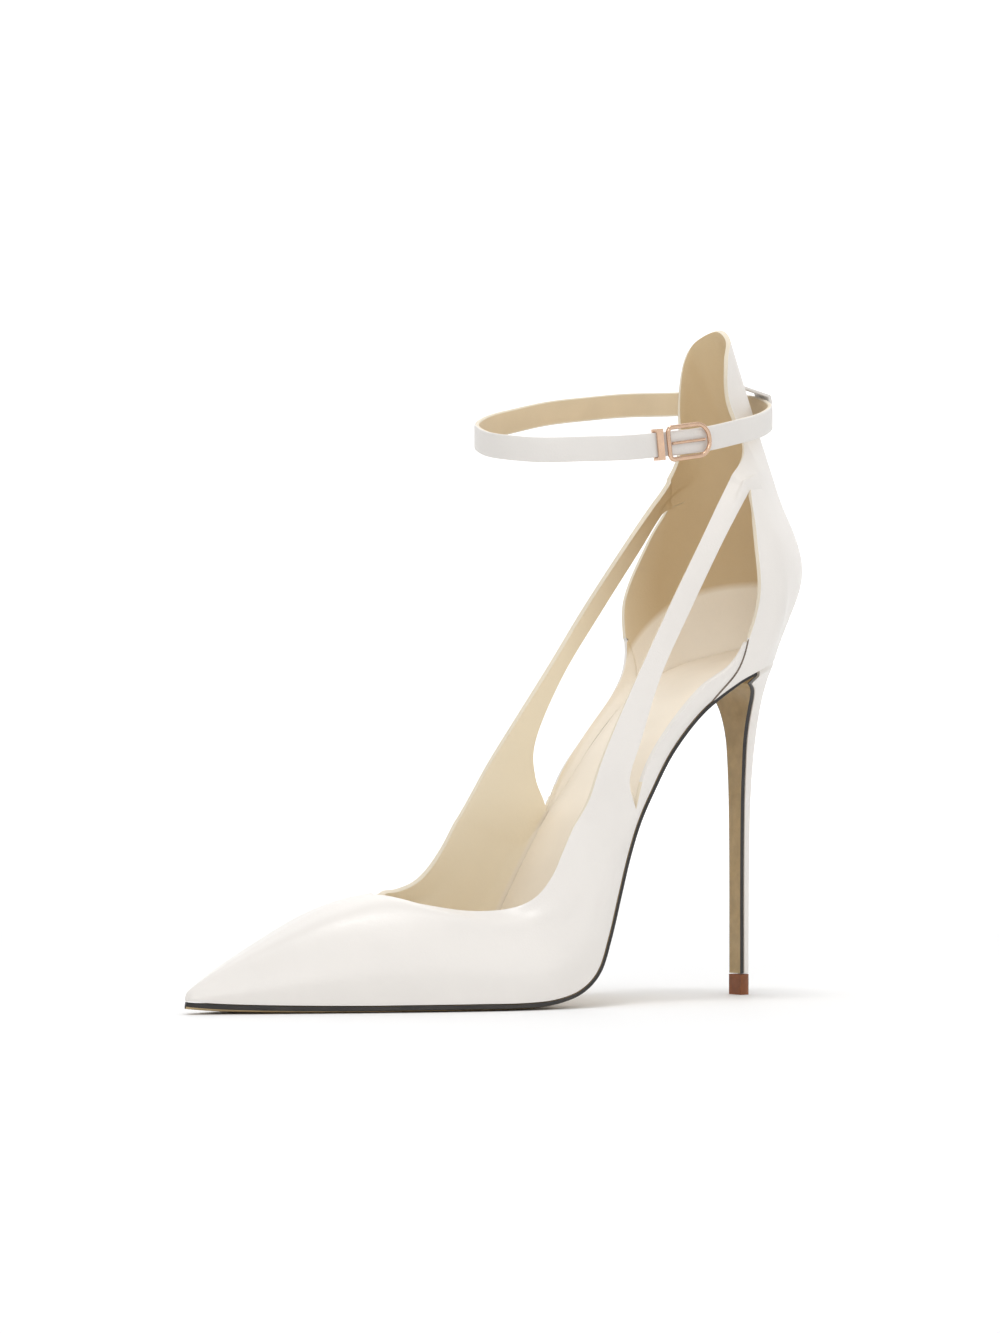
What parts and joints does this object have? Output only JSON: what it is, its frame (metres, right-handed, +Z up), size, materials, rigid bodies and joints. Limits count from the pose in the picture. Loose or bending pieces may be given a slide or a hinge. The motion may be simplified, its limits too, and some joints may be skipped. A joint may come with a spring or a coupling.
{
  "type": "ankle strap pump",
  "caption": "Left pointed-toe stiletto pump in off-white leather with side cut-outs, a raised heel tab and a buckled ankle strap held by a loop behind the tab",
  "frame": {"origin": "on the floor, at the middle of the top lift's bottom face", "axes": "-X towards the toe, +X towards the heel, -Y the outer side with the buckle, +Z up"},
  "size_m": [0.2184, 0.0768, 0.2083],
  "materials": {
    "white_leather": "smooth warm off-white leather, half gloss",
    "cream_footbed": "soft cream lining leather, matt",
    "tan_sole_leather": "tan sole leather with a near-black painted edge",
    "brown_top_lift": "brown moulded top lift",
    "pale_gold": "polished pale rose-gold metal"
  },
  "bodies": {
    "root": {"upper": "white_leather", "outsole": "tan_sole_leather", "insole": "cream_footbed", "heel": "white_leather", "top_lift": "brown_top_lift", "ankle_strap": "white_leather", "back_loop": "white_leather", "buckle": "pale_gold", "buckle_prong": "pale_gold", "keeper": "pale_gold"}
  },
  "joints": []
}
